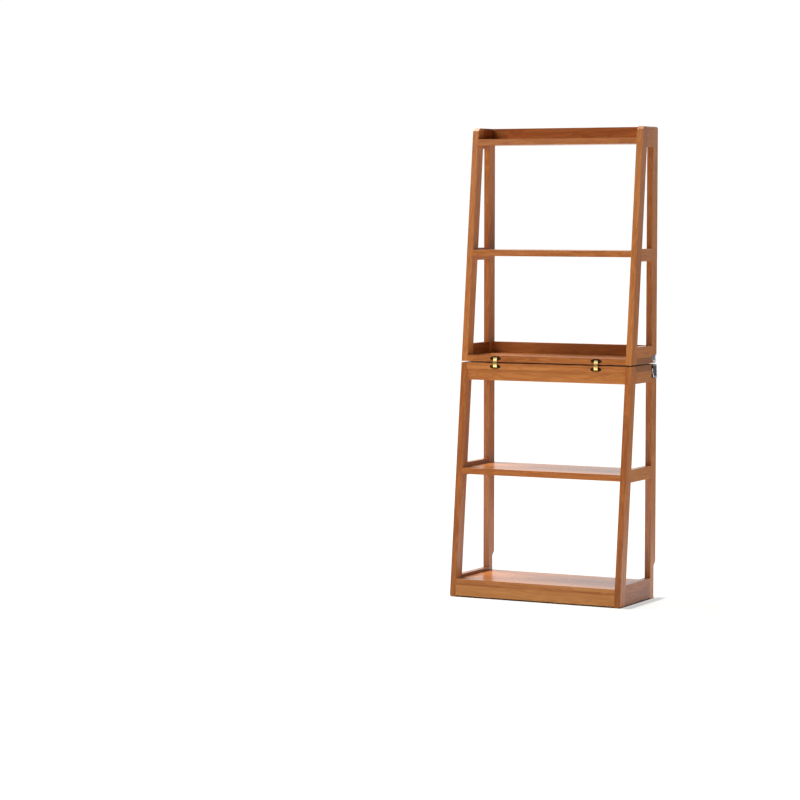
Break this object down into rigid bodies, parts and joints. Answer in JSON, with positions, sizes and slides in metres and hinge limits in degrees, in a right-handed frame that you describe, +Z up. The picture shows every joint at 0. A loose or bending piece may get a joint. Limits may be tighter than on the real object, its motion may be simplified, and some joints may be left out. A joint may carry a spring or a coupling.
{
  "type": "display rack",
  "caption": "Folding wooden display rack of open shelves with leaning front legs: the upper section hinges along the front and swings down before the lower, draw latches at the rear.",
  "frame": {"origin": "centre of the overall bounding box's bottom face, on the floor", "axes": "+X to the rack's right as seen from the front, +Y to the rear (the wall side), +Z up"},
  "size_m": [0.611, 0.286, 1.518],
  "materials": {
    "oiled_wood": "satin lacquered, warm orange brown, fine straight grain",
    "dowel_wood": "plain beech",
    "dark_bronze": "dark bronze, satin",
    "brass": "satin",
    "steel_pins": "plain",
    "chrome": "bright"
  },
  "bodies": {
    "lower_section": {"lower_front_leg_left": "oiled_wood", "lower_front_leg_right": "oiled_wood", "lower_rear_leg_left": "oiled_wood", "lower_rear_leg_right": "oiled_wood", "lower_top_board": "oiled_wood", "lower_middle_shelf": "oiled_wood", "lower_bottom_shelf": "oiled_wood", "lower_plinth_rail": "oiled_wood", "lower_top_front_rail": "oiled_wood", "lower_top_rear_rail": "oiled_wood", "lower_top_side_rail_left": "oiled_wood", "lower_top_side_rail_right": "oiled_wood", "lower_middle_side_rail_left": "oiled_wood", "lower_middle_side_rail_right": "oiled_wood", "lower_bottom_side_rail_left": "oiled_wood", "lower_bottom_side_rail_right": "oiled_wood", "lower_dowels": "dowel_wood", "hinge_leaves_lower": "dark_bronze", "hinge_pins_lower": "steel_pins", "hinge_screws_lower": "dark_bronze", "latch_base_left": "chrome", "latch_base_right": "chrome", "latch_pins": "chrome", "latch_screws_lower": "chrome"},
    "upper_section": {"upper_front_leg_left": "oiled_wood", "upper_front_leg_right": "oiled_wood", "upper_rear_leg_left": "oiled_wood", "upper_rear_leg_right": "oiled_wood", "upper_bottom_board": "oiled_wood", "upper_middle_shelf": "oiled_wood", "upper_top_shelf": "oiled_wood", "upper_tray_side_rail_left": "oiled_wood", "upper_tray_side_rail_right": "oiled_wood", "upper_tray_rear_rail": "oiled_wood", "upper_middle_side_rail_left": "oiled_wood", "upper_middle_side_rail_right": "oiled_wood", "upper_top_side_rail_left": "oiled_wood", "upper_top_side_rail_right": "oiled_wood", "upper_top_rear_rail": "oiled_wood", "upper_dowels": "dowel_wood", "hinge_leaves_upper": "dark_bronze", "hinge_pins_upper": "steel_pins", "hinge_screws_upper": "dark_bronze", "latch_catch_left": "chrome", "latch_catch_right": "chrome", "latch_screws_upper": "chrome"},
    "hinge_links_lower": {"hinge_links_lower": "brass"},
    "hinge_links_upper": {"hinge_links_upper": "brass"},
    "latch_lever_left": {"latch_lever_left": "chrome"},
    "latch_lever_right": {"latch_lever_right": "chrome"},
    "latch_bail_left": {"latch_bail_left": "chrome"},
    "latch_bail_right": {"latch_bail_right": "chrome"}
  },
  "joints": [
    {"name": "fold", "type": "hinge", "parent": "lower_section", "child": "upper_section", "pos_m": [0, -0.0629, 0.76], "axis": [1, 0, 0], "range_deg": [0, 180]},
    {"name": "links_lower_turn", "type": "hinge", "parent": "lower_section", "child": "hinge_links_lower", "pos_m": [0, -0.06021, 0.74865], "axis": [1, 0, 0], "range_deg": [0, 90]},
    {"name": "links_upper_turn", "type": "hinge", "parent": "upper_section", "child": "hinge_links_upper", "pos_m": [0, -0.05785, 0.77052], "axis": [1, 0, 0], "range_deg": [-90, 0]},
    {"name": "latch_lever_left_open", "type": "hinge", "parent": "lower_section", "child": "latch_lever_left", "pos_m": [-0.3006, 0.123, 0.7545], "axis": [0, 1, 0], "range_deg": [0, 120]},
    {"name": "latch_lever_right_open", "type": "hinge", "parent": "lower_section", "child": "latch_lever_right", "pos_m": [0.3006, 0.123, 0.7545], "axis": [0, -1, 0], "range_deg": [0, 120]},
    {"name": "latch_bail_left_swing", "type": "hinge", "parent": "latch_lever_left", "child": "latch_bail_left", "pos_m": [-0.3003, 0.123, 0.7455], "axis": [0, -1, 0], "range_deg": [-171.9, 0]},
    {"name": "latch_bail_right_swing", "type": "hinge", "parent": "latch_lever_right", "child": "latch_bail_right", "pos_m": [0.3003, 0.123, 0.7455], "axis": [0, 1, 0], "range_deg": [-171.9, 0]}
  ],
  "couplings": [
    {"joint": "links_lower_turn", "follows": "fold", "ratio": 0.5},
    {"joint": "links_upper_turn", "follows": "fold", "ratio": -0.5}
  ]
}
